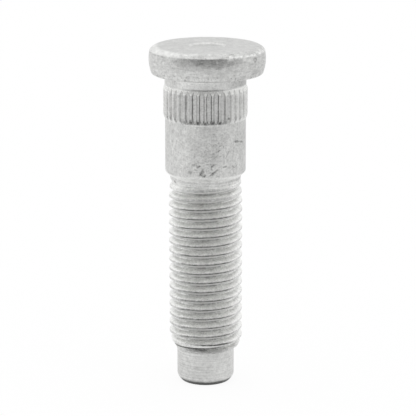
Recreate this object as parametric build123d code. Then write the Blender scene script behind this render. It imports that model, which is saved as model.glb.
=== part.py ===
from build123d import *
from math import asin, cos, degrees, radians, tan
import os

os.makedirs("parts", exist_ok=True)

# Press-in wheel stud for an M12 thread, standing on its point with the head up.
# Heights run up +Z from the flat end of the point; all sizes in millimetres.

# Point sizes
point_diameter = 9.2
point_length = 5.45
point_end_diameter = 7.8
point_chamfer_length = 0.9

# Thread sizes, over the crests
thread_diameter = 11.8
thread_length = 28.8
thread_lead_in = 2.05
thread_fade_length = 3.6
blank_diameter = 11.3
blank_length = 0.6

# Shank sizes
shank_diameter = 12.85
shank_length = 9.05
shank_chamfer_length = 0.75

# Serration sizes
serration_diameter = 13.4
serration_length = 5.9
serration_taper_length = 0.9
tooth_count = 36
groove_floor_width = 0.5
groove_floor_radius = 6.38
groove_flank_angle = 35.0
groove_ramp_angle = 10.0

# Neck and head sizes
neck_diameter = 12.95
neck_length = 1.5
neck_flare = 0.25
head_diameter = 18.5
head_height = 4.4
head_offset = 0.28
rim_barrel_radius = 6.5
rim_widest_height = 2.4
rim_lower_radius = 0.55
corner_width = 1.15
corner_drop = 0.65
corner_bulge_radius = 1.45
dimple_diameter = 5.8
dimple_depth = 0.3
dimple_wall_angle = 45.0

# Heights of the shoulders, stacked from the point upward
thread_base = point_length
shank_base = thread_base + thread_length
serration_base = shank_base + shank_length
serration_top = serration_base + serration_length
seat_height = serration_top + neck_length
top_height = seat_height + head_height

# Radii that follow from the sizes
point_radius = point_diameter / 2
thread_radius = thread_diameter / 2
blank_radius = blank_diameter / 2
shank_radius = shank_diameter / 2
serration_radius = serration_diameter / 2
neck_radius = neck_diameter / 2
head_radius = head_diameter / 2


def turned(*points):
    """Revolve a closed outline of (radius, height) points about the axis."""
    outline = Plane.XZ * make_face(Polyline(*points, close=True))
    return revolve(outline, Axis.Z)


# Stem turned in one piece: point, thread, shank, serration collar and flared neck
blank_base = shank_base - blank_length
stem = turned(
    (0, 0),
    (point_end_diameter / 2, 0),
    (point_radius, point_chamfer_length),
    (point_radius, thread_base),
    (thread_radius, thread_base + thread_lead_in),
    (thread_radius, blank_base - thread_fade_length),
    (blank_radius, blank_base),
    (blank_radius, shank_base),
    (shank_radius, shank_base + shank_chamfer_length),
    (shank_radius, serration_base),
    (serration_radius, serration_base + serration_taper_length),
    (serration_radius, serration_top - serration_taper_length),
    (neck_radius, serration_top),
    (neck_radius, seat_height - neck_flare),
    (neck_radius + 2 * neck_flare, seat_height + neck_flare),
    (0, seat_height + neck_flare),
)

# Upset head with a barrelled rim, sitting a little off the axis
rim_top = top_height - corner_drop
barrel_centre = (head_radius - rim_barrel_radius, seat_height + rim_widest_height)
lower_angle = degrees(asin(rim_widest_height / rim_barrel_radius))
upper_angle = degrees(asin((rim_top - barrel_centre[1]) / rim_barrel_radius))
lower_corner = (barrel_centre[0] + rim_barrel_radius * cos(radians(lower_angle)), seat_height)
upper_corner = (barrel_centre[0] + rim_barrel_radius * cos(radians(upper_angle)), rim_top)
top_edge = (upper_corner[0] - corner_width, top_height)
with BuildSketch(Plane.XZ) as head_outline:
    with BuildLine():
        Polyline(top_edge, (0, top_height), (0, seat_height), lower_corner)
        CenterArc(barrel_centre, rim_barrel_radius, -lower_angle, lower_angle + upper_angle)
        RadiusArc(top_edge, upper_corner, corner_bulge_radius)
    make_face()
    fillet(head_outline.vertices().group_by(Axis.Y)[0].sort_by(Axis.X)[-1], rim_lower_radius)
head = Pos(head_offset, 0, 0) * revolve(head_outline.sketch, Axis.Z)

# Shallow dimple in the top of the head
cutter_stand = 0.5
dimple_radius = dimple_diameter / 2
dimple_floor_radius = dimple_radius - dimple_depth / tan(radians(dimple_wall_angle))
dimple = Pos(head_offset, 0, top_height) * turned(
    (0, -dimple_depth),
    (dimple_floor_radius, -dimple_depth),
    (dimple_radius, 0),
    (dimple_radius, cutter_stand),
    (0, cutter_stand),
)

# One serration groove, a flat-floored channel that ramps out at both ends
groove_outer_radius = serration_radius + cutter_stand
groove_rise = groove_outer_radius - groove_floor_radius
groove_half_width = groove_floor_width / 2
groove_outer_half_width = groove_half_width + groove_rise * tan(radians(groove_flank_angle))
groove_section = make_face(
    Polyline(
        (groove_floor_radius, -groove_half_width),
        (groove_outer_radius, -groove_outer_half_width),
        (groove_outer_radius, groove_outer_half_width),
        (groove_floor_radius, groove_half_width),
        close=True,
    )
)
ramp_length = groove_rise / tan(radians(groove_ramp_angle))
floor_base = serration_base + serration_taper_length
floor_top = serration_top - serration_taper_length
ramp_section = Plane.XZ * make_face(
    Polyline(
        (groove_floor_radius, floor_base),
        (groove_outer_radius, floor_base - ramp_length),
        (groove_outer_radius, floor_top + ramp_length),
        (groove_floor_radius, floor_top),
        close=True,
    )
)
channel_base = serration_base - neck_length / 2
channel = extrude(Pos(0, 0, channel_base) * groove_section, serration_length + neck_length)
groove = channel & extrude(ramp_section, groove_outer_half_width, both=True)
tooth_angle = 360 / tooth_count
grooves = [Rot(0, 0, (n + 0.5) * tooth_angle) * groove for n in range(tooth_count)]

# The whole stud
stud = stem + head - grooves - dimple
stud.label = "wheel_stud"
export_step(stud, "parts/wheel_stud.step")
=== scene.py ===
"""Press-in wheel stud standing on its point: mesh, plating, floor, light and camera."""

import bmesh
import bpy
from math import atan2, cos, degrees, pi, radians, sin
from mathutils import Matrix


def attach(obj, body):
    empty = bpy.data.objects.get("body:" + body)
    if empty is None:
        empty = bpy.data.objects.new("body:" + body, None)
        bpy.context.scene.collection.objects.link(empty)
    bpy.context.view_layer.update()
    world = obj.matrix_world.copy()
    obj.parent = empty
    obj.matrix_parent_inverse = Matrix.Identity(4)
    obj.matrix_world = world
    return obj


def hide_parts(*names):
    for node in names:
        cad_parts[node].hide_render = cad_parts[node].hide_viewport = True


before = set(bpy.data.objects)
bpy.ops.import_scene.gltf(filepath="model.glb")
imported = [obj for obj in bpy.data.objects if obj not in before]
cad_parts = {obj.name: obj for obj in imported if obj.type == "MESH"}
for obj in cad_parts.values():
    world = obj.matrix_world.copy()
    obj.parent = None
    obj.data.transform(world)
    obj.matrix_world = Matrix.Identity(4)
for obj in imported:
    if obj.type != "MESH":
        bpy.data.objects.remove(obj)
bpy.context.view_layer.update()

# Sizes in millimetres: the solid's own, but for the cones at the ends of the serration
POINT_RADIUS = 4.6
POINT_END_RADIUS = 3.9
POINT_CHAMFER = 0.9
THREAD_BASE = 5.45
THREAD_RADIUS = 5.9
LEAD_IN_TOP = 7.5
FADE_BASE = 30.05
BLANK_RADIUS = 5.65
BLANK_BASE = 33.65
SHANK_BASE = 34.25
SHANK_CHAMFER_TOP = 35.0
SHANK_RADIUS = 6.425
SERRATION_BASE = 43.35
CREST_BASE = 44.3
CREST_TOP = 48.35
SERRATION_TOP = 48.86
CREST_RADIUS = 6.7
NECK_RADIUS = 6.475
SEAT = 50.7
FLARE = 0.25
HEAD_TOP = 55.1
HEAD_RADIUS = 9.25
HEAD_OFFSET = 0.28
MILLIMETRE = 0.001

# Steps round the pieces, distances at which corners count as one, and the sharpest edge shaded smooth
POINT_STEPS = 192
THREAD_STEPS = 96
ROUND_STEPS = 288
SAME_PLACE = 0.002
MERGE_DISTANCE = 0.0005
SMOOTH_ANGLE = radians(32)


def leave_edit_mode():
    """Go back to object mode with nothing selected."""
    if bpy.context.object and bpy.context.object.mode != "OBJECT":
        bpy.ops.object.mode_set(mode="OBJECT")
    bpy.ops.object.select_all(action="DESELECT")


def start_piece(name, radius, height):
    """Begin a piece as one corner at a radius and height, left in edit mode."""
    leave_edit_mode()
    bpy.ops.mesh.primitive_plane_add(size=1)
    piece = bpy.context.object
    piece.name = name
    piece.data.name = name
    bpy.ops.object.mode_set(mode="EDIT")
    bpy.context.tool_settings.mesh_select_mode = (True, False, False)
    bpy.ops.mesh.merge(type="CENTER")
    bpy.ops.transform.translate(value=(radius, 0, height))
    return piece


def draw_outline(name, outline):
    """Draw an outline of (radius, height) corners, one extrusion at a time."""
    piece = start_piece(name, *outline[0])
    for (radius, height), (next_radius, next_height) in zip(outline, outline[1:]):
        step = (next_radius - radius, 0, next_height - height)
        bpy.ops.mesh.extrude_region_move(TRANSFORM_OT_translate={"value": step})
    return piece


def pick(piece, test):
    """Select the corners of a piece whose place passes a test."""
    bpy.ops.mesh.select_all(action="DESELECT")
    shape = bmesh.from_edit_mesh(piece.data)
    for corner in shape.verts:
        if test(corner.co):
            corner.select_set(True)
    shape.select_flush(True)
    bmesh.update_edit_mesh(piece.data)


def close_up():
    """Merge the seam of a spun piece and point its faces outwards."""
    bpy.ops.mesh.select_all(action="SELECT")
    bpy.ops.mesh.remove_doubles(threshold=MERGE_DISTANCE)
    bpy.ops.mesh.normals_make_consistent(inside=False)


def turn(name, outline, steps, rounded=()):
    """Turn an outline on the axis, after rounding the corners listed as (radius, height, size)."""
    piece = draw_outline(name, outline)
    for radius, height, size in rounded:
        pick(piece, lambda co: abs(co.x - radius) < SAME_PLACE and abs(co.z - height) < SAME_PLACE)
        bpy.ops.mesh.bevel(offset=size, offset_pct=0, affect="VERTICES", segments=4, profile=0.5)
    bpy.ops.mesh.select_all(action="SELECT")
    bpy.ops.mesh.spin(steps=steps, angle=2 * pi, center=(0, 0, 0), axis=(0, 0, 1))
    close_up()
    return piece


def choose(piece):
    """Select one piece alone, in object mode."""
    leave_edit_mode()
    bpy.context.view_layer.objects.active = piece
    piece.select_set(True)


def apply_modifier(piece, kind, **settings):
    """Add a modifier to a piece and apply it at once."""
    choose(piece)
    modifier = piece.modifiers.new(kind.lower(), kind)
    for setting, value in settings.items():
        setattr(modifier, setting, value)
    bpy.ops.object.modifier_apply(modifier=modifier.name)
    bpy.ops.object.mode_set(mode="EDIT")


def discard(piece):
    """Delete a helper piece."""
    choose(piece)
    bpy.ops.object.delete()


def arc(centre, radius, start, end, steps):
    """Corners along an arc, from one angle to another in degrees."""
    corners = []
    for step in range(steps + 1):
        angle = radians(start + (end - start) * step / steps)
        corners.append((centre[0] + radius * cos(angle), centre[1] + radius * sin(angle)))
    return corners


class Signal:
    """A shader socket that takes part in sums as a number does."""

    def __init__(self, graph, socket):
        self.graph = graph
        self.socket = socket

    def math(self, operation, first, second):
        """Add a Math node on two values."""
        return self.graph.add("ShaderNodeMath", {"operation": operation}, {0: first, 1: second})

    def __add__(self, other):
        return self.math("ADD", self, other)

    def __radd__(self, other):
        return self.math("ADD", other, self)

    def __sub__(self, other):
        return self.math("SUBTRACT", self, other)

    def __rsub__(self, other):
        return self.math("SUBTRACT", other, self)

    def __mul__(self, other):
        return self.math("MULTIPLY", self, other)

    def __rmul__(self, other):
        return self.math("MULTIPLY", other, self)


class Graph:
    """A node tree that is written one node at a time."""

    def __init__(self, tree):
        self.tree = tree
        self.tree.nodes.clear()

    def add(self, kind, settings=None, sockets=None, output=0):
        """Add a node, set it up, fill or link its sockets, and give one of its outputs."""
        node = self.tree.nodes.new(kind)
        for name, value in (settings or {}).items():
            setattr(node, name, value)
        for name, value in (sockets or {}).items():
            if isinstance(value, Signal):
                self.tree.links.new(value.socket, node.inputs[name])
            else:
                node.inputs[name].default_value = value
        return Signal(self, node.outputs[output]) if node.outputs else node

    def vector(self, operation, sockets, output=0):
        """Add a Vector Math node."""
        return self.add("ShaderNodeVectorMath", {"operation": operation}, sockets, output)

    def part(self, vector, axis):
        """One coordinate of a vector."""
        return self.add("ShaderNodeSeparateXYZ", None, {0: vector}, axis)

    def stretch(self, vector, across, up, slant=0):
        """A vector scaled across and up its plane, then turned by an angle in degrees."""
        sockets = {"Vector": vector, "Rotation": (0, 0, radians(slant)), "Scale": (across, up, 1)}
        return self.add("ShaderNodeMapping", None, sockets)

    def ray(self, kind):
        """1 for rays of a kind and 0 for all others."""
        return self.add("ShaderNodeLightPath", None, None, kind)

    def rise(self, value, low, high):
        """From 0 to 1, smoothly, as a value goes from low to high."""
        settings = {"interpolation_type": "SMOOTHSTEP"}
        return self.add("ShaderNodeMapRange", settings, {0: value, 1: low, 2: high})

    def fall(self, value, low, high):
        """From 1 to 0, smoothly, as a value goes from low to high."""
        return 1 - self.rise(value, low, high)

    def band(self, value, start, full, fading, end):
        """From 0 up to 1 and down to 0 again, smoothly, as a value goes on."""
        return self.rise(value, start, full) * self.fall(value, fading, end)

    def root(self, value):
        """Square root of a value."""
        return self.add("ShaderNodeMath", {"operation": "SQRT"}, {0: value})

    def limit(self, value, low, high):
        """Keep a value between two limits."""
        return self.add("ShaderNodeClamp", None, {0: value, 1: low, 2: high})

    def noise(self, vector, scale, detail, roughness):
        """Noise over a vector, about 0.5."""
        sockets = {"Vector": vector, "Scale": scale, "Detail": detail, "Roughness": roughness}
        return self.add("ShaderNodeTexNoise", None, sockets)

    def spot(self, vector, centre, inner, outer):
        """From 1 inside a ball to 0 outside a larger one."""
        distance = self.vector("DISTANCE", {0: vector, 1: centre}, "Value")
        return self.fall(distance, inner, outer)

    def dash(self, vector, centre, length, width, slant):
        """A soft dash of half length and half width, on an unrolled surface."""
        moved = self.vector("SUBTRACT", {0: vector, 1: (*centre, 0)})
        sockets = {"Vector": moved, "Angle": radians(-slant)}
        turned = self.add("ShaderNodeVectorRotate", {"rotation_type": "Z_AXIS"}, sockets)
        sized = self.vector("MULTIPLY", {0: turned, 1: (1 / length, 1 / width, 1)})
        return self.fall(self.vector("LENGTH", {0: sized}, "Value"), 0.35, 1.0)

    def toward(self, vector, axis):
        """How far a direction points along an axis."""
        return self.vector("DOT_PRODUCT", {0: vector, 1: axis}, "Value")


# Point: flat end, rounded chamfer, plain cylinder and the foot of the lead-in cone
POINT_JOIN = 5.62
cone_slope = (THREAD_RADIUS - POINT_RADIUS) / (LEAD_IN_TOP - THREAD_BASE)
point_join_radius = POINT_RADIUS + (POINT_JOIN - THREAD_BASE) * cone_slope
point = turn(
    "point",
    [
        (0, 0),
        (POINT_END_RADIUS, 0),
        (POINT_RADIUS, POINT_CHAMFER),
        (POINT_RADIUS, 3.2),
        (POINT_RADIUS, THREAD_BASE),
        (point_join_radius, POINT_JOIN),
    ],
    POINT_STEPS,
    [(POINT_END_RADIUS, 0, 0.2), (POINT_RADIUS, POINT_CHAMFER, 0.4), (POINT_RADIUS, THREAD_BASE, 0.1)],
)

# Thread: one pitch of the rolled profile, wound up the stem as a right-hand screw
PITCH = 1.5
TURNS = 21
FIRST_CREST = 4.71
ROOT_RADIUS = 5.02
THREAD_JOIN_BASE = 5.7
LEAD_IN_TILT = radians(2.9)
THREAD_JOIN_TOP = 34.02
lower_half = [
    (0.75, ROOT_RADIUS),
    (0.69, 5.03),
    (0.64, 5.07),
    (0.61, 5.12),
    (0.41, 5.475),
    (0.22, 5.83),
    (0.17, 5.88),
    (0.08, THREAD_RADIUS),
]
upper_half = [
    (0.05, THREAD_RADIUS),
    (0.11, 5.88),
    (0.15, 5.83),
    (0.355, 5.475),
    (0.56, 5.12),
    (0.6, 5.07),
    (0.66, 5.03),
    (0.75, ROOT_RADIUS),
]
profile = [(radius, FIRST_CREST - drop) for drop, radius in lower_half]
profile += [(radius, FIRST_CREST + rise) for rise, radius in upper_half]
thread = draw_outline("thread", profile)
apply_modifier(
    thread,
    "SCREW",
    axis="Z",
    screw_offset=PITCH,
    iterations=TURNS,
    steps=THREAD_STEPS,
    render_steps=THREAD_STEPS,
    use_merge_vertices=False,
)
close_up()

# Lead-in and fade: the crests are kept inside an outer form, the roots outside a core
outer_form = turn(
    "outer_form",
    [
        (0, 2),
        (POINT_RADIUS, 2),
        (POINT_RADIUS, THREAD_BASE + 0.1),
        (5.0, 5.95),
        (5.33, 6.28),
        (5.52, 6.75),
        (5.72, 7.25),
        (THREAD_RADIUS, LEAD_IN_TOP + 0.3),
        (THREAD_RADIUS, FADE_BASE),
        (BLANK_RADIUS, BLANK_BASE),
        (BLANK_RADIUS, 40),
        (0, 40),
    ],
    ROUND_STEPS,
)
pick(outer_form, lambda co: 5 < co.z < 8)
bpy.ops.transform.rotate(value=-LEAD_IN_TILT, orient_axis="Y", center_override=(0, 0, 6.3))
core = turn(
    "core",
    [(0, 20), (4.9, 20), (4.9, 31.9), (BLANK_RADIUS, 33.85), (BLANK_RADIUS, 40), (0, 40)],
    ROUND_STEPS,
)
apply_modifier(thread, "SHRINKWRAP", target=outer_form, wrap_mode="INSIDE")
apply_modifier(thread, "SHRINKWRAP", target=core, wrap_mode="OUTSIDE")
discard(outer_form)
discard(core)
choose(thread)
bpy.ops.object.mode_set(mode="EDIT")
for height, keep_above in ((THREAD_JOIN_BASE, True), (THREAD_JOIN_TOP, False)):
    bpy.ops.mesh.select_all(action="SELECT")
    bpy.ops.mesh.bisect(
        plane_co=(0, 0, height),
        plane_no=(0, 0, 1),
        clear_inner=keep_above,
        clear_outer=not keep_above,
        threshold=0.00001,
    )

# Shoulder: blank end, chamfer, shank, serration collar and flared neck
TEETH = 36
COLUMNS = 16
SHOULDER_JOIN = 34.1
SUPPORT = 0.08
lower_cone_levels = [43.5, 43.65, 43.8, 43.95, 44.1]
crest_levels = [CREST_BASE, 44.5, 46.25, 47.9, 48.05, 48.2, CREST_TOP]
upper_cone_levels = [48.47, 48.59, 48.71]
collar_levels = lower_cone_levels + crest_levels + upper_cone_levels


def collar_radius(height):
    """Radius of the collar over the tooth crests, with a cone at each end."""
    if height < CREST_BASE:
        share = (height - SERRATION_BASE) / (CREST_BASE - SERRATION_BASE)
        return SHANK_RADIUS + share * (CREST_RADIUS - SHANK_RADIUS)
    if height > CREST_TOP:
        share = (height - CREST_TOP) / (SERRATION_TOP - CREST_TOP)
        return CREST_RADIUS + share * (NECK_RADIUS - CREST_RADIUS)
    return CREST_RADIUS


shoulder = turn(
    "shoulder",
    [
        (BLANK_RADIUS, SHOULDER_JOIN),
        (BLANK_RADIUS, SHANK_BASE),
        (SHANK_RADIUS, SHANK_CHAMFER_TOP),
        (SHANK_RADIUS, 37.5),
        (SHANK_RADIUS, 40.5),
        (SHANK_RADIUS, SERRATION_BASE - SUPPORT),
        (SHANK_RADIUS, SERRATION_BASE),
    ]
    + [(collar_radius(height), height) for height in collar_levels]
    + [
        (NECK_RADIUS, SERRATION_TOP),
        (NECK_RADIUS, SERRATION_TOP + SUPPORT),
        (NECK_RADIUS, SEAT - FLARE),
        (NECK_RADIUS + FLARE, SEAT),
    ],
    TEETH * COLUMNS,
    [
        (SHANK_RADIUS, SHANK_CHAMFER_TOP, 0.2),
        (BLANK_RADIUS, SHANK_BASE, 0.1),
        (NECK_RADIUS, SEAT - FLARE, 0.1),
    ],
)

# Grooves: columns between the teeth are pressed in, and close in an arch at both ends
GROOVE_DEPTH = 0.32
GROOVE_COLUMNS = 6.4
FLANK_COLUMNS = 2.6
ARCH_LENGTH = 0.85
ARCH_BASE = 44.45
ARCH_TOP = 48.0
UNPRESSED = 0.9999
column_angle = 360 / (TEETH * COLUMNS)


def groove_column(co):
    """How many columns a corner lies from the nearest groove's middle."""
    column = round(degrees(atan2(co.y, co.x)) / column_angle) % COLUMNS
    return abs(column - COLUMNS // 2)


for level in collar_levels:
    along_arch = max(ARCH_BASE - level, level - ARCH_TOP, 0) / ARCH_LENGTH
    half_width = GROOVE_COLUMNS * max(0, 1 - along_arch**2) ** 0.5
    for column in range(COLUMNS // 2):
        pressed = CREST_RADIUS - GROOVE_DEPTH * min(1, max(0, (half_width - column) / FLANK_COLUMNS))
        scale = pressed / collar_radius(level)
        if scale < UNPRESSED:
            pick(shoulder, lambda co: abs(co.z - level) < SAME_PLACE and groove_column(co) == column)
            bpy.ops.transform.resize(value=(scale, scale, 1), center_override=(0, 0, 0))

# Head: underside, barrelled rim, broken top corner and dimple, set a little off the axis
BARREL_RADIUS = 6.5
WIDEST = 53.1
DIMPLE_RADIUS = 2.9
DIMPLE_DEPTH = 0.3
LOWER_CENTRE = (8.548, 51.05)
LOWER_RADIUS = 0.35
CORNER_CENTRE = (7.887, 53.647)
CORNER_RADIUS = 1.455
barrel_centre = (HEAD_RADIUS - BARREL_RADIUS, WIDEST)
head = turn(
    "head",
    [(7.1, SEAT), (7.7, SEAT), (8.3, SEAT)]
    + arc(LOWER_CENTRE, LOWER_RADIUS, -88, -23, 6)
    + arc(barrel_centre, BARREL_RADIUS, -17, 11.5, 12)
    + arc(CORNER_CENTRE, CORNER_RADIUS, 33.5, 88, 8)
    + [
        (7.0, HEAD_TOP),
        (4.5, HEAD_TOP),
        (DIMPLE_RADIUS, HEAD_TOP),
        (DIMPLE_RADIUS - DIMPLE_DEPTH, HEAD_TOP - DIMPLE_DEPTH),
        (1.2, HEAD_TOP - DIMPLE_DEPTH),
        (0, HEAD_TOP - DIMPLE_DEPTH),
    ],
    ROUND_STEPS,
    [(DIMPLE_RADIUS, HEAD_TOP, 0.08), (DIMPLE_RADIUS - DIMPLE_DEPTH, HEAD_TOP - DIMPLE_DEPTH, 0.1)],
)
bpy.ops.mesh.select_all(action="SELECT")
bpy.ops.transform.translate(value=(HEAD_OFFSET, 0, 0))

# Nick in the head's top corner, pressed in at the front right
NICK = (3.94, -8.0, 54.62)
NICK_REACH = (0.42, 0.6, 0.3)
NICK_PUSH = (-0.04, 0.1, -0.1)
pick(head, lambda co: all(abs(co[axis] - NICK[axis]) < NICK_REACH[axis] for axis in range(3)))
bpy.ops.transform.translate(value=NICK_PUSH)

# One closed piece: the four lengths are joined and their open ends bridged
leave_edit_mode()
for length in (point, thread, shoulder, head):
    length.select_set(True)
bpy.context.view_layer.objects.active = shoulder
bpy.ops.object.join()
stud = bpy.context.object
stud.name = "stud"
stud.data.name = "stud"
bpy.ops.object.mode_set(mode="EDIT")
seams = (
    (POINT_JOIN, THREAD_JOIN_BASE),
    (THREAD_JOIN_TOP, SHOULDER_JOIN),
    (SEAT, SEAT),
)
for lower, upper in seams:
    bpy.ops.mesh.select_all(action="DESELECT")
    shape = bmesh.from_edit_mesh(stud.data)
    for edge in shape.edges:
        heights = [corner.co.z for corner in edge.verts]
        at_seam = all(min(abs(height - lower), abs(height - upper)) < SAME_PLACE for height in heights)
        edge.select_set(edge.is_boundary and at_seam)
    bmesh.update_edit_mesh(stud.data)
    bpy.ops.mesh.bridge_edge_loops()
close_up()
bpy.ops.mesh.select_all(action="SELECT")
bpy.ops.transform.resize(value=(MILLIMETRE, MILLIMETRE, MILLIMETRE), center_override=(0, 0, 0))
bpy.ops.object.mode_set(mode="OBJECT")
bpy.ops.object.shade_smooth_by_angle(angle=SMOOTH_ANGLE)
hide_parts("wheel_stud")
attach(stud, "root")

# Plating: dull zinc over forged, rolled and turned steel; places and sizes in millimetres
PLATING_COLOUR = (0.62, 0.622, 0.612)
plating = bpy.data.materials.new("plated_steel")
plating.use_nodes = True
graph = Graph(plating.node_tree)
metres = graph.add("ShaderNodeTexCoord", None, None, "Object")
place = graph.vector("SCALE", {0: metres, "Scale": 1 / MILLIMETRE})
across = graph.part(place, "X")
depth = graph.part(place, "Y")
height = graph.part(place, "Z")
radius = graph.root(across * across + depth * depth)
head_across = across - HEAD_OFFSET
head_radius = graph.root(head_across * head_across + depth * depth)
turned_angle = graph.add("ShaderNodeMath", {"operation": "ARCTAN2"}, {0: across, 1: 0 - depth})
wrap = turned_angle * SHANK_RADIUS
unrolled = graph.add("ShaderNodeCombineXYZ", None, {0: wrap, 1: height, 2: 0.0})

# Zones up the stud
in_thread = graph.band(height, 5.7, 6.1, 33.3, 34.1)
in_collar = graph.band(height, 43.4, 43.7, 49.0, 49.2)
in_shank = graph.band(height, 34.9, 35.2, 43.2, 43.7)
in_neck = graph.band(height, 49.0, 49.3, 50.6, 50.8)
in_head = graph.rise(height, 50.6, 50.9)
in_point = graph.fall(height, 5.3, 5.6)
in_chamfer = graph.band(height, 34.15, 34.35, 34.85, 35.05)
# The point's end, darkened as a painted contact shadow
point_end_shadow = graph.fall(height, 0.45, 0.95)

# Which way a place faces, the flat top of the head and the run of the teeth
facing = graph.add("ShaderNodeTexCoord", None, None, "Normal")
facing_up = graph.part(facing, "Z")
on_top = graph.rise(height, 54.6, 54.75) * graph.fall(head_radius, 7.6, 8.1)
tooth_wave = graph.add("ShaderNodeMath", {"operation": "COSINE"}, {0: turned_angle * TEETH})

# Bright wear on the broken head corner, with a painted highlight on its left side and along its right edge
corner = graph.rise(head_radius, 7.9, 8.3) * graph.rise(height, 54.34, 54.46)
lit_corner_left = corner * graph.fall(across, -7.0, -0.5) * (0.8 + 0.4 * graph.noise(place, 0.9, 2.0, 0.6))
corner_edge = graph.band(height, 54.3, 54.42, 54.6, 54.75) * graph.rise(head_radius, 8.8, 8.95)
broken_up = graph.rise(graph.noise(place, 1.3, 2.0, 0.6), 0.38, 0.52)
corner_right = corner_edge * graph.rise(across, 3.6, 5.2) * broken_up
corner_wear_and_highlight = lit_corner_left + 1.3 * corner_right

# Mottle of the plating, fine to broad
grain_weight = 1 - 0.55 * on_top - 0.45 * in_point - 0.3 * in_head * (1 - on_top) + 0.5 * in_thread
grain = (graph.noise(place, 3.6, 3.0, 0.65) - 0.5) * grain_weight * (1 - 0.5 * lit_corner_left)
mottle = graph.noise(place, 1.5, 2.0, 0.6) - 0.5
cloud = graph.noise(place, 0.42, 2.0, 0.5) - 0.5
specks = graph.rise(graph.noise(place, 4.6, 1.0, 0.5), 0.66, 0.74)
drawn_out = graph.stretch(unrolled, 0.5, 1.5)
forged = in_head * (1 - on_top) * (1 - 0.7 * lit_corner_left) * (graph.noise(drawn_out, 1.7, 4.0, 0.7) - 0.5)

# Bright and dark places, mostly painted highlights and painted shade: dimple wall, teeth, rim and thread
dimple_wall_highlight = graph.band(head_radius, 2.52, 2.66, 2.88, 2.98) * graph.rise(height, 54.6, 54.7)
# Painted highlight on the cones at the teeth's top ends
lit_tooth_end = graph.band(height, 48.1, 48.4, 48.86, 48.95) * graph.rise(radius, 6.44, 6.5)
# Painted shade at the feet of the teeth, on the front
foot_wave = tooth_wave - (height - 43.4)
tooth_foot_shade = in_collar * graph.rise(foot_wave, -0.35, 0.1) * graph.fall(height, 44.2, 44.7)
# Painted shade on the tooth flanks
tooth_flank_shade = in_collar * graph.band(radius, 6.4, 6.44, 6.6, 6.66)
front = graph.fall(depth, -6.0, -4.2)
beside_front = graph.rise(depth, -6.3, -5.2)
rim_front = graph.fall(depth, -8.6, -6.6) * graph.rise(head_radius, 8.6, 8.9)
rim_shade = rim_front * graph.band(height, 52.4, 53.9, 54.32, 54.46)
groove = in_collar * graph.fall(radius, 6.42, 6.5)
# Painted shade in the thread roots, at the front
root_shade = in_thread * graph.fall(radius, 5.025, 5.06)
upper_flank = in_thread * graph.rise(facing_up, 0.3, 0.7)
lower_flank = in_thread * graph.fall(facing_up, -0.7, -0.3) * graph.rise(height, 6.3, 6.9)
# Painted dark reflection along the lower edge of the thread crests, strongest at the front
crest_dark_reflection = in_thread * graph.rise(radius, 5.64, 5.76) * graph.fall(facing_up, -0.1, 0.14)
thread_front = in_thread * graph.fall(depth, -5.2, -3.2)
thread_sides = in_thread - thread_front
# Painted shade on the thread's lead-in, at the front
lead_in_shade = graph.band(height, 5.6, 5.8, 6.3, 7.0)
crest_weight = 0.32 + 0.58 * thread_front - 0.2 * graph.rise(across, 3.0, 5.0)

# Dark rubs on the shank, each a dash of (way round, height, length, width, slant, weight)
wander = graph.add("ShaderNodeTexNoise", None, {"Vector": place, "Scale": 2.6, "Detail": 3.0}, "Color")
centred = graph.vector("SUBTRACT", {0: wander, 1: (0.5, 0.5, 0.5)})
ragged = graph.vector("MULTIPLY_ADD", {0: centred, 1: (0.35, 0.35, 0.0), 2: unrolled})
RUBS = (
    (-0.55, 36.0, 0.85, 0.5, 70, 0.9),
    (-0.2, 35.5, 0.5, 0.3, 60, 0.7),
    (-1.1, 36.9, 0.5, 0.22, 25, 0.9),
    (1.3, 35.9, 0.95, 0.26, 38, 1.0),
    (1.05, 37.0, 0.45, 0.22, 45, 0.9),
    (3.2, 36.75, 0.5, 0.2, 12, 1.0),
    (4.9, 36.5, 0.5, 0.17, -35, 0.8),
    (5.5, 36.6, 0.4, 0.16, 30, 0.7),
    (-2.5, 35.9, 0.55, 0.35, 20, 0.6),
    (-1.9, 37.2, 0.4, 0.3, 0, 0.5),
    (5.6, 40.5, 0.8, 0.26, -12, 1.0),
    (6.9, 40.25, 0.75, 0.24, -14, 0.9),
    (3.6, 38.6, 1.3, 0.16, 58, 0.5),
    (-2.2, 39.6, 0.35, 0.2, 10, 0.5),
)
rubs = 0.0
for way_round, level, length, width, slant, weight in RUBS:
    rubs = rubs + weight * graph.dash(ragged, (way_round, level), length, width, slant)

# Smears, pepper, the nick and single marks
slanted = graph.stretch(unrolled, 0.8, 2.4, -42)
smears = graph.rise(graph.noise(slanted, 1.3, 3.0, 0.65), 0.53, 0.66)
low_front = graph.spot(place, (-0.2, -6.4, 36.4), 0.8, 3.6)
middle_front = graph.spot(place, (2.0, -6.1, 40.2), 0.4, 3.0)
pepper = graph.rise(graph.noise(place, 2.5, 2.0, 0.6), 0.56, 0.68)
smear_zone = in_shank * (0.1 + 0.65 * low_front + 0.2 * middle_front)
pepper_zone = in_shank * (0.12 + 0.5 * low_front + 0.75 * middle_front)
nick = graph.spot(place, NICK, 0.2, 0.5)
rim_foot = graph.band(height, 50.66, 50.8, 51.2, 51.8)
pit = graph.spot(place, (7.69, -5.46, 53.7), 0.3, 0.5)
pit_floor = graph.spot(place, (7.75, -5.5, 53.75), 0.05, 0.3)
marks = (
    0.6 * pit * (1 - pit_floor)
    + graph.spot(place, (-1.97, -5.46, 28.74), 0.06, 0.22)
    + graph.spot(place, (-4.91, -2.79, 33.62), 0.08, 0.4)
    + graph.spot(place, (3.68, -5.36, 44.35), 0.08, 0.32)
)
scuffs = (
    0.8 * in_shank * rubs
    + 0.8 * smears * smear_zone
    + pepper * (0.7 * pepper_zone + 0.55 * rim_foot)
    + marks
)

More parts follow.
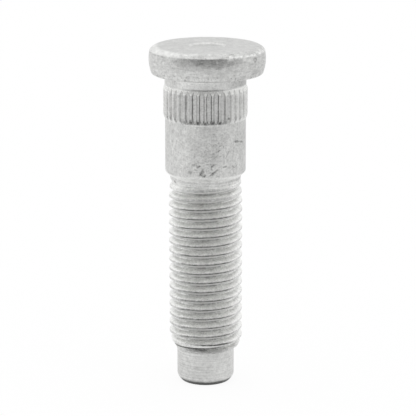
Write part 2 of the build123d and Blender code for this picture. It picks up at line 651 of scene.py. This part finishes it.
# Lines left by the tools: turned round the point, rolled round the thread's end, drawn up the shank
round_lines = graph.stretch(unrolled, 0.12, 6.0)
point_lines = in_point * (graph.noise(round_lines, 1.0, 2.0, 0.6) - 0.5)
rolled = graph.stretch(unrolled, 0.1, 3.2)
thread_end = graph.band(height, 31.2, 32.4, 34.2, 34.6)
rolled_lines = thread_end * (graph.noise(rolled, 1.0, 3.0, 0.65) - 0.5)
upward_lines = graph.stretch(unrolled, 3.4, 0.3)
drawn_lines = in_shank * (graph.noise(upward_lines, 1.0, 2.0, 0.6) - 0.5)

# Tone, dullness and fine relief, summed from all of these
tone = (
    0.99
    + 0.9 * grain
    + 0.6 * mottle
    + 0.22 * cloud
    + forged
    + 0.75 * point_lines
    + rolled_lines
    + 0.35 * drawn_lines
    + 0.06 * in_shank * front
    - 0.16 * specks
    # painted highlight and wear on the head's top corner
    + 0.2 * corner_wear_and_highlight
    # painted highlight on the dimple's wall
    + 0.15 * dimple_wall_highlight
    # painted highlight at the teeth's top ends
    + 0.75 * lit_tooth_end
    # painted light on the thread: upper flanks lighter towards the crest, the sides and lower flanks lighter
    + 0.2 * upper_flank * graph.rise(radius, 5.15, 5.6)
    + 0.2 * thread_sides * graph.rise(height, 6.3, 6.9)
    + (0.2 + 0.55 * thread_front) * lower_flank
    # painted shade at the teeth's feet
    - 0.7 * graph.noise(place, 0.8, 1.0, 0.5) * tooth_foot_shade * front
    # painted shade on the tooth flanks
    - 0.4 * tooth_flank_shade * (1 - beside_front)
    # painted dark reflection along the thread crests
    - 0.9 * crest_dark_reflection * crest_weight
    # painted light on the neck's front and painted shade on its right side
    + 0.2 * in_neck * front
    - 0.16 * in_neck * graph.rise(across, 2.0, 5.0)
    - 0.06 * on_top
    - 0.2 * rim_shade
    # painted light on the collar away from the front
    + 0.16 * in_collar * (1 - front)
    + 0.3 * in_chamfer
    # painted shade in the grooves beside the front; the collar there is a little lighter, more so towards
    # the right
    + (0.06 - 0.28 * beside_front) * groove
    + beside_front * in_collar * (0.03 + 0.09 * graph.rise(across, -4.0, -1.0))
    # painted shade in the thread roots at the front
    - 0.4 * root_shade * thread_front
    # painted contact shadow at the point's end
    - 0.9 * point_end_shadow
    # painted shade on the lead-in at the front
    - 0.4 * lead_in_shade * thread_front
    + 0.18 * nick
    - 0.62 * scuffs
)
colour = graph.vector("SCALE", {0: PLATING_COLOUR, "Scale": graph.limit(tone, 0.12, 1.56)})
dullness = (
    0.38
    + 0.3 * grain
    + 0.2 * mottle
    + 0.12 * scuffs
    - 0.05 * corner_wear_and_highlight
    + 0.4 * lower_flank
    + 0.25 * lit_tooth_end
)
skin = (
    0.8 * grain
    + 0.9 * mottle
    + 1.2 * forged
    + 0.6 * point_lines
    + 1.2 * rolled_lines
    - 0.5 * specks
    - 0.7 * scuffs
)
relief = graph.add("ShaderNodeBump", None, {"Strength": 0.6, "Distance": 0.00008, "Height": skin})
surface = graph.add(
    "ShaderNodeBsdfPrincipled",
    None,
    {"Base Color": colour, "Metallic": 1.0, "Roughness": graph.limit(dullness, 0.2, 0.75), "Normal": relief},
)
graph.add("ShaderNodeOutputMaterial", None, {"Surface": surface})
stud.data.materials.clear()
stud.data.materials.append(plating)

# Floor: white to the camera and in reflections, darker far in front, with the stud's shadow
bpy.ops.object.select_all(action="DESELECT")
bpy.ops.mesh.primitive_plane_add(size=6)
floor = bpy.context.object
floor.name = "floor"
floor_finish = bpy.data.materials.new("white_floor")
floor_finish.use_nodes = True
graph = Graph(floor_finish.node_tree)
floor_place = graph.add("ShaderNodeTexCoord", None, None, "Object")
floor_depth = graph.part(floor_place, "Y")
floor_across = graph.part(floor_place, "X")
camera_ray = graph.ray("Is Camera Ray")
glossy_ray = graph.ray("Is Glossy Ray")
transmission_ray = graph.ray("Is Transmission Ray")
right_fade = 1 - 0.2 * graph.rise(floor_across, -0.02, 0.12)
front_fade = (0.45 + 0.65 * graph.rise(floor_depth, -0.5, -0.19)) * right_fade
glow_strength = graph.add("ShaderNodeMix", {"data_type": "FLOAT"}, {0: glossy_ray, 2: 1.0, 3: front_fade})
matt = graph.add("ShaderNodeBsdfDiffuse", None, {"Color": (0.95, 0.95, 0.95, 1)})
glow = graph.add("ShaderNodeEmission", None, {"Color": (1, 1, 1, 1), "Strength": glow_strength})
seen = camera_ray * 0.92 + glossy_ray * 0.7 + transmission_ray
floor_surface = graph.add("ShaderNodeMixShader", None, {0: seen, 1: matt, 2: glow})
graph.add("ShaderNodeOutputMaterial", None, {"Surface": floor_surface})
floor.data.materials.append(floor_finish)

# World: a white tent, darker on the side that the camera looks in from
world = bpy.data.worlds.new("tent")
bpy.context.scene.world = world
world.use_nodes = True
graph = Graph(world.node_tree)
direction = graph.add("ShaderNodeTexCoord", None, None, "Generated")
sideways = graph.part(direction, "X")
upward = graph.part(direction, "Z")
overhead = graph.rise(upward, 0.45, 0.95)
opening = graph.rise(graph.toward(direction, (0, -1, 0)), 0.5, 0.92) * graph.fall(upward, 0.25, 0.5)
left_lamp = graph.rise(graph.toward(direction, (-0.5, 0.5, 0.707)), 0.82, 0.99)
tent_light = (1.0 + 0.03 * sideways + 0.12 * overhead + 0.15 * left_lamp) * (1 - 0.98 * opening)
camera_ray = graph.ray("Is Camera Ray")
strength = graph.add("ShaderNodeMix", {"data_type": "FLOAT"}, {0: camera_ray, 2: tent_light, 3: 1.0})
tent = graph.add("ShaderNodeBackground", None, {"Color": (1, 1, 1, 1), "Strength": strength})
graph.add("ShaderNodeOutputWorld", None, {"Surface": tent})

# Camera
TARGET = (0.0004, 0.0, 0.02867)
DISTANCE = 0.335
ELEVATION = radians(14.1)
camera_data = bpy.data.cameras.new("camera")
camera_data.lens = 180.6
camera_data.sensor_width = 36
camera = bpy.data.objects.new("camera", camera_data)
bpy.context.scene.collection.objects.link(camera)
camera.location = (
    TARGET[0],
    TARGET[1] - DISTANCE * cos(ELEVATION),
    TARGET[2] + DISTANCE * sin(ELEVATION),
)
camera.rotation_euler = (pi / 2 - ELEVATION, 0, 0)
bpy.context.scene.camera = camera
bpy.context.scene.view_settings.view_transform = "Standard"
